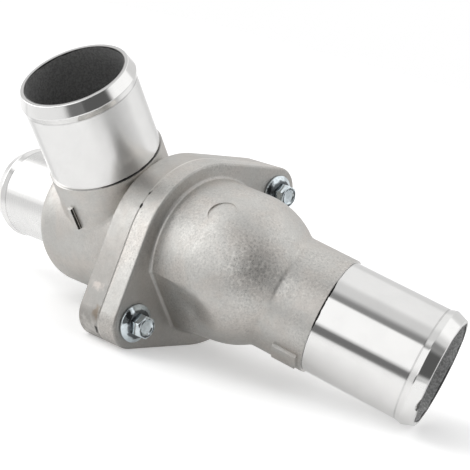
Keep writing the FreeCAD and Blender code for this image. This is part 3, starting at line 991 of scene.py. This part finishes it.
class HOUSING_OT_dress_valve(bpy.types.Operator):
    """Give the parts of the valve inside their steel, brass, rubber and wax"""

    bl_idname = "housing.dress_valve"
    bl_label = "Dress valve"

    def execute(self, context):
        pressed = steel_finish("pressed_steel", (0.60, 0.59, 0.57), 0.26, (0.25, 1.0, 1.0), 0.0006)
        ground = steel_finish("ground_steel", (0.66, 0.66, 0.66), 0.16, (3.0, 0.4, 0.4), 0.0004)
        brass = steel_finish("turned_brass", (0.70, 0.55, 0.30), 0.22, (3.0, 0.3, 0.3), 0.0005)
        for material, names in (
            (pressed, ("seat_plate", "bridge", "cage", "main_valve", "bypass_valve")),
            (ground, ("piston_rod", "bypass_stem", "stem_clip")),
            (brass, ("wax_capsule", "capsule_guide", "bleed_pin")),
            (rubber_finish("moulded_rubber"), ("seal_ring", "rubber_sleeve")),
            (wax_finish("copper_wax"), ("wax_pellet",)),
        ):
            for name in names:
                paint(name, material)
        return {"FINISHED"}


def bolt_hexagon(corner_r, rim):
    """Hexagon whose corners are chamfered, with a dished top and broken edges."""
    low, sides = 0.001, 96
    hexagon = new_piece(
        "hexagon",
        bpy.ops.mesh.primitive_cylinder_add,
        vertices=6,
        radius=corner_r,
        depth=BOLT_HEAD - low,
        location=(0, 0, (BOLT_HEAD + low) / 2),
    )
    drop = (rim - BOLT_TOP_R) * math.tan(math.radians(30))
    cone = [(low / 2, rim), (BOLT_HEAD - drop, rim), (BOLT_HEAD, BOLT_TOP_R)]
    cut_with(hexagon, turned_piece("envelope", cone, sides), "INTERSECT")
    bowl = [(BOLT_HEAD - DISH_DEPTH, DISH_R - 0.001), (BOLT_HEAD + DISH_DEPTH, DISH_R)]
    cut_with(hexagon, turned_piece("dish", bowl, sides), "DIFFERENCE")
    bevel = hexagon.modifiers.new("edges", "BEVEL")
    bevel.width = 0.00014
    bevel.segments = 3
    bevel.limit_method = "ANGLE"
    bevel.angle_limit = math.radians(25)
    apply_modifier(hexagon, bevel)
    return hexagon


def flange_bolt(sizes):
    """Hexagon bolt with a washer flange and a rolled thread, its head's underside at zero."""
    corner_r = sizes.flats / 2 / math.cos(math.radians(30))
    rim = corner_r + 0.0006
    pitch, tip = sizes.thread_pitch, -sizes.length
    root_r = sizes.shank_r - THREAD_DEPTH * pitch
    washer_rings = [
        (0.0, WASHER_R - 0.00012),
        (0.00012, WASHER_R),
        (0.00075, WASHER_R),
        (0.00092, WASHER_R - 0.00008),
        (0.00103, WASHER_R - 0.00030),
        (0.0024, rim),
        (0.0026, rim - 0.0008),
    ]
    washer = turned_piece("bolt", washer_rings, 96)
    hexagon = bolt_hexagon(corner_r, rim)
    shank_rings = [
        (0.0005, sizes.shank_r),
        (-0.0012, sizes.shank_r),
        (-0.0018, root_r),
        (tip + 0.0006, root_r),
        (tip, root_r - 0.0004),
    ]
    shank = turned_piece("shank", shank_rings, 64)
    turns = (sizes.length - 0.0030) / pitch
    thread = wound_piece("thread", THREAD_WIDTH * pitch, root_r, pitch, turns, 3, 48)
    thread.location = (0, 0, tip + 0.0009)
    settle(thread)
    select_only(washer, hexagon, shank, thread)
    bpy.ops.object.join()
    smooth(washer, 30)
    return washer


class HOUSING_OT_make_bolts(bpy.types.Operator):
    """Make the two flange bolts with their threads"""

    bl_idname = "housing.make_bolts"
    bl_label = "Make bolts"

    def execute(self, context):
        sizes = context.scene.housing_bolts
        first = flange_bolt(sizes)
        second = first.copy()
        second.data = first.data.copy()
        context.scene.collection.objects.link(second)
        bolts = ((first, "bolt_lower"), (second, "bolt_upper"))
        under_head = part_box("bolt_lower")[0].x + sizes.length
        axes = []
        for piece, node in bolts:
            low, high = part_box(node)
            middle = (low + high) / 2
            axes.append((middle.y, middle.z))
            lay_along_x(piece, (under_head, middle.y, middle.z), BOLT_TURN)
        zinc = zinc_finish(sizes.colour, under_head, axes)
        for piece, node in bolts:
            piece.name = node + "_threaded"
            piece.data.materials.append(zinc)
            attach(piece, "housing")
            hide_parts(node)
        return {"FINISHED"}


def coil_spring(name, node, wire_r, turns):
    """Spring wound to the size of a CAD node along X, with its two ends ground flat."""
    low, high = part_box(node)
    coil_r = (high.y - low.y) / 2 - wire_r
    span = high.x - low.x
    pitch = (span - wire_r) / turns
    piece = wound_piece(name, wire_r, coil_r, pitch, turns, 20, 64)
    crop(piece, -wire_r / 2, span - wire_r / 2)
    lay_along_x(piece, (low.x + wire_r / 2, 0.0, 0.0), math.radians(90))
    smooth(piece, 40)
    return piece


class HOUSING_OT_wind_springs(bpy.types.Operator):
    """Wind the main spring and the small spring behind the bypass valve"""

    bl_idname = "housing.wind_springs"
    bl_label = "Wind springs"

    def execute(self, context):
        sizes = context.scene.housing_springs
        wire = spring_wire_finish(sizes.colour)
        for node, wire_r, turns, body, joint in (
            ("main_spring", sizes.main_wire_r, sizes.main_turns, "housing", "valve_lift"),
            ("bypass_spring", sizes.bypass_wire_r, sizes.bypass_turns, "valve", "bypass_slide"),
        ):
            piece = coil_spring(node + "_wound", node, wire_r, turns)
            piece.data.materials.append(wire)
            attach(piece, body)
            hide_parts(node)
            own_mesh(piece)
        return {"FINISHED"}


def floor_finish(colour):
    """Pale floor that is white where nothing shades it and that shiny faces see only nearby."""
    finish = Finish("studio_floor")
    finish.tree.nodes.remove(finish.shader)
    tint = finish.blend(finish.noise(0.4), tuple(colour), shade(colour, 0.99))
    matt = finish.node("ShaderNodeBsdfDiffuse", {"Color": tint})
    path = finish.node("ShaderNodeLightPath").outputs
    mirrored = path["Is Glossy Ray"]
    seen = finish.larger(path["Is Camera Ray"], path["Is Transmission Ray"])
    strength = finish.plus(finish.times(seen, 0.35), finish.times(mirrored, 0.17))
    glow = finish.node("ShaderNodeEmission", {"Color": WHITE, "Strength": strength})
    lit = finish.node("ShaderNodeAddShader", {0: matt.outputs[0], 1: glow.outputs[0]})
    middle_x, middle_y = SHEET_MIDDLE
    reach_x, reach_y = SHEET_REACH
    offset = finish.vector("SUBTRACT", finish.place, (middle_x, middle_y, 0.0))
    offset = finish.vector("MULTIPLY", offset, (1.0 / reach_x, 1.0 / reach_y, 0.0))
    beyond = finish.ramp(finish.vector("LENGTH", offset), 0.55, 1.15)
    passed = finish.node("ShaderNodeBsdfTransparent")
    inputs = {0: finish.times(beyond, mirrored), 1: lit.outputs[0], 2: passed.outputs[0]}
    shown = finish.node("ShaderNodeMixShader", inputs)
    finish.put(finish.tree.nodes["Material Output"].inputs["Surface"], shown.outputs[0])
    return finish.material


def turn_to(direction, up):
    """Rotation that points -Z along a direction."""
    forward = direction.normalized()
    right = forward.cross(up).normalized()
    return Matrix((right, right.cross(forward), -forward)).transposed().to_4x4()


def key_lamp(power):
    """Large square lamp high at the left, which shiny faces don't mirror."""
    lamp = bpy.data.lights.new("key_lamp", "AREA")
    lamp.shape = "RECTANGLE"
    lamp.size = lamp.size_y = LAMP_SIZE
    lamp.energy = power
    holder = bpy.data.objects.new("key_lamp", lamp)
    bpy.context.scene.collection.objects.link(holder)
    holder.visible_glossy = False
    turn = turn_to(-LAMP_OFFSET, Vector((0.0, 0.02, 1.0)))
    holder.matrix_world = Matrix.Translation(LAMP_TARGET + LAMP_OFFSET) @ turn


def panel_mask_group():
    """Node group that gives the soft-edged mask of a flat panel far away."""
    group = bpy.data.node_groups.new("panel_mask", "ShaderNodeTree")
    for kind, names in (
        ("NodeSocketVector", ("Direction", "Centre", "Across", "Up")),
        ("NodeSocketFloat", ("Half Width", "Half Height", "Edge")),
    ):
        for name in names:
            group.interface.new_socket(name, in_out="INPUT", socket_type=kind)
    group.interface.new_socket("Mask", in_out="OUTPUT", socket_type="NodeSocketFloat")
    net = Net(group)
    given = net.node("NodeGroupInput").outputs
    edge = given["Edge"]
    facing = net.vector("DOT_PRODUCT", given["Direction"], given["Centre"])
    front = net.larger(facing, 0.001)
    fades = []
    for name, size in (("Across", given["Half Width"]), ("Up", given["Half Height"])):
        offset = net.vector("DOT_PRODUCT", given["Direction"], given[name])
        offset = net.math("ABSOLUTE", net.math("DIVIDE", offset, front))
        fades.append(net.ramp(offset, net.minus(size, edge), net.plus(size, edge), 1.0, 0.0))
    mask = net.times(net.times(*fades), net.math("GREATER_THAN", facing, 0.0))
    net.node("NodeGroupOutput", {"Mask": mask})
    return group


def studio_world(level):
    """White surround with soft panels, plain white for the camera."""
    world = bpy.data.worlds.new("studio")
    world.use_nodes = True
    world.node_tree.nodes.clear()
    net = Net(world.node_tree)
    group = panel_mask_group()
    direction = net.node("ShaderNodeTexCoord").outputs["Generated"]
    shown = level
    for azimuth, elevation, *sizes, brightness in PANELS:
        turn, lift = math.radians(azimuth), math.radians(elevation)
        half_width, half_height, edge = (math.tan(math.radians(size)) for size in sizes)
        out_x, out_y = math.sin(turn), -math.cos(turn)
        panel = {
            "Direction": direction,
            "Centre": (out_x * math.cos(lift), out_y * math.cos(lift), math.sin(lift)),
            "Across": (math.cos(turn), math.sin(turn), 0.0),
            "Up": (-out_x * math.sin(lift), -out_y * math.sin(lift), math.cos(lift)),
            "Half Width": half_width,
            "Half Height": half_height,
            "Edge": edge,
        }
        mask = net.node("ShaderNodeGroup", panel, node_tree=group).outputs["Mask"]
        shown = net.mix(mask, shown, brightness)
    path = net.node("ShaderNodeLightPath").outputs
    around = net.node("ShaderNodeBackground", {"Color": WHITE, "Strength": shown})
    white = net.node("ShaderNodeBackground", {"Color": WHITE, "Strength": 1.0})
    inputs = {0: path["Is Camera Ray"], 1: around.outputs[0], 2: white.outputs[0]}
    pick = net.node("ShaderNodeMixShader", inputs)
    net.node("ShaderNodeOutputWorld", {"Surface": pick.outputs[0]})
    bpy.context.scene.world = world


def studio_floor(colour):
    """Floor through the part's points of rest, square to the way up in which it lies."""
    contact = Vector((*REST_PLACE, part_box("outlet_cover")[0].z))
    grid = {"x_subdivisions": 8, "y_subdivisions": 8, "size": 2 * FLOOR_REACH}
    floor = new_piece("studio_floor", bpy.ops.mesh.primitive_grid_add, **grid)
    tilt = Vector((0.0, 0.0, 1.0)).rotation_difference(REST_UP).to_matrix().to_4x4()
    floor.matrix_world = Matrix.Translation(contact) @ tilt
    settle(floor)
    floor.data.materials.append(floor_finish(colour))


def set_camera(scene):
    lens = bpy.data.cameras.new("camera")
    lens.lens = CAMERA_LENS
    lens.sensor_width = 36.0
    lens.clip_start = 0.01
    lens.clip_end = 20.0
    camera = bpy.data.objects.new("camera", lens)
    scene.collection.objects.link(camera)
    back = CAMERA_RIGHT.cross(CAMERA_UP)
    turn = Matrix((CAMERA_RIGHT, CAMERA_UP, back)).transposed().to_4x4()
    camera.matrix_world = Matrix.Translation(CAMERA_PLACE) @ turn
    scene.camera = camera


class HOUSING_OT_set_stage(bpy.types.Operator):
    """Set the floor, the lamp, the white surround and the camera"""

    bl_idname = "housing.set_stage"
    bl_label = "Set stage"

    def execute(self, context):
        looks = context.scene.housing_studio
        studio_floor(looks.floor_colour)
        key_lamp(looks.key_power)
        studio_world(looks.surround)
        set_camera(context.scene)
        context.scene.view_settings.view_transform = "Standard"
        return {"FINISHED"}


OPERATORS = (
    HOUSING_OT_dress_castings,
    HOUSING_OT_dress_valve,
    HOUSING_OT_make_bolts,
    HOUSING_OT_wind_springs,
    HOUSING_OT_set_stage,
)

SETTINGS = {
    "housing_castings": CastingLooks,
    "housing_bolts": BoltSizes,
    "housing_springs": SpringSizes,
    "housing_studio": StudioLooks,
}


class HOUSING_PT_looks(bpy.types.Panel):
    """Settings and steps of the housing's looks"""

    bl_idname = "HOUSING_PT_looks"
    bl_label = "Thermostat housing"
    bl_space_type = "VIEW_3D"
    bl_region_type = "UI"
    bl_category = "Housing"

    def draw(self, context):
        for name, group in SETTINGS.items():
            box = self.layout.box()
            for key in group.__annotations__:
                box.prop(getattr(context.scene, name), key)
        for operator in OPERATORS:
            self.layout.operator(operator.bl_idname)


def register():
    for group in SETTINGS.values():
        bpy.utils.register_class(group)
    for name, group in SETTINGS.items():
        setattr(bpy.types.Scene, name, bpy.props.PointerProperty(type=group))
    for operator in OPERATORS:
        bpy.utils.register_class(operator)
    bpy.utils.register_class(HOUSING_PT_looks)


def unregister():
    bpy.utils.unregister_class(HOUSING_PT_looks)
    for operator in reversed(OPERATORS):
        bpy.utils.unregister_class(operator)
    for name in SETTINGS:
        delattr(bpy.types.Scene, name)
    for group in SETTINGS.values():
        bpy.utils.unregister_class(group)


def main():
    register()
    bpy.ops.housing.dress_castings()
    bpy.ops.housing.dress_valve()
    bpy.ops.housing.make_bolts()
    bpy.ops.housing.wind_springs()
    bpy.ops.housing.set_stage()


if __name__ == "__main__":
    main()
